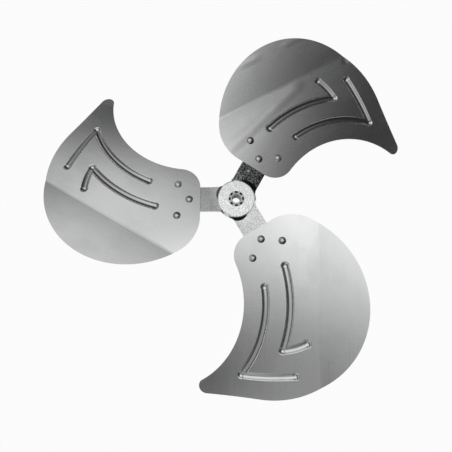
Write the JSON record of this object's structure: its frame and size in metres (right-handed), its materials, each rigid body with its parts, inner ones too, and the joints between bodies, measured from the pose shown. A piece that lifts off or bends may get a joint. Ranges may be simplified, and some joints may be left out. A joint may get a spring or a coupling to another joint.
{
  "type": "pedestal fan blade",
  "caption": "Broad swept sheet blades with stiffening beads and a bent flap, riveted to a pressed spider whose staked hub takes a round motor shaft.",
  "frame": {"origin": "on the bore axis, in the front face of the spider's raised centre", "axes": "+Z along the bore axis to the front, the air side, away from the motor; +X between two arms, so that the first arm lies 60 degrees from +X towards +Y"},
  "size_m": [0.5852, 0.5545, 0.0875],
  "materials": {
    "aluminium_sheet": "mill finish, satin",
    "aluminium_rivet": "plain",
    "galvanised_steel": "hot-dip galvanised with spangle",
    "zinc_plated_steel": "turned, zinc plated",
    "black_steel": "black oxide"
  },
  "bodies": {
    "root": {"spider": "galvanised_steel", "hub": "zinc_plated_steel", "set_screw": "black_steel", "blade_1": "aluminium_sheet", "blade_2": "aluminium_sheet", "blade_3": "aluminium_sheet", "rivet_1_inner": "aluminium_rivet", "rivet_1_leading": "aluminium_rivet", "rivet_1_trailing": "aluminium_rivet", "rivet_2_inner": "aluminium_rivet", "rivet_2_leading": "aluminium_rivet", "rivet_2_trailing": "aluminium_rivet", "rivet_3_inner": "aluminium_rivet", "rivet_3_leading": "aluminium_rivet", "rivet_3_trailing": "aluminium_rivet"}
  },
  "joints": []
}
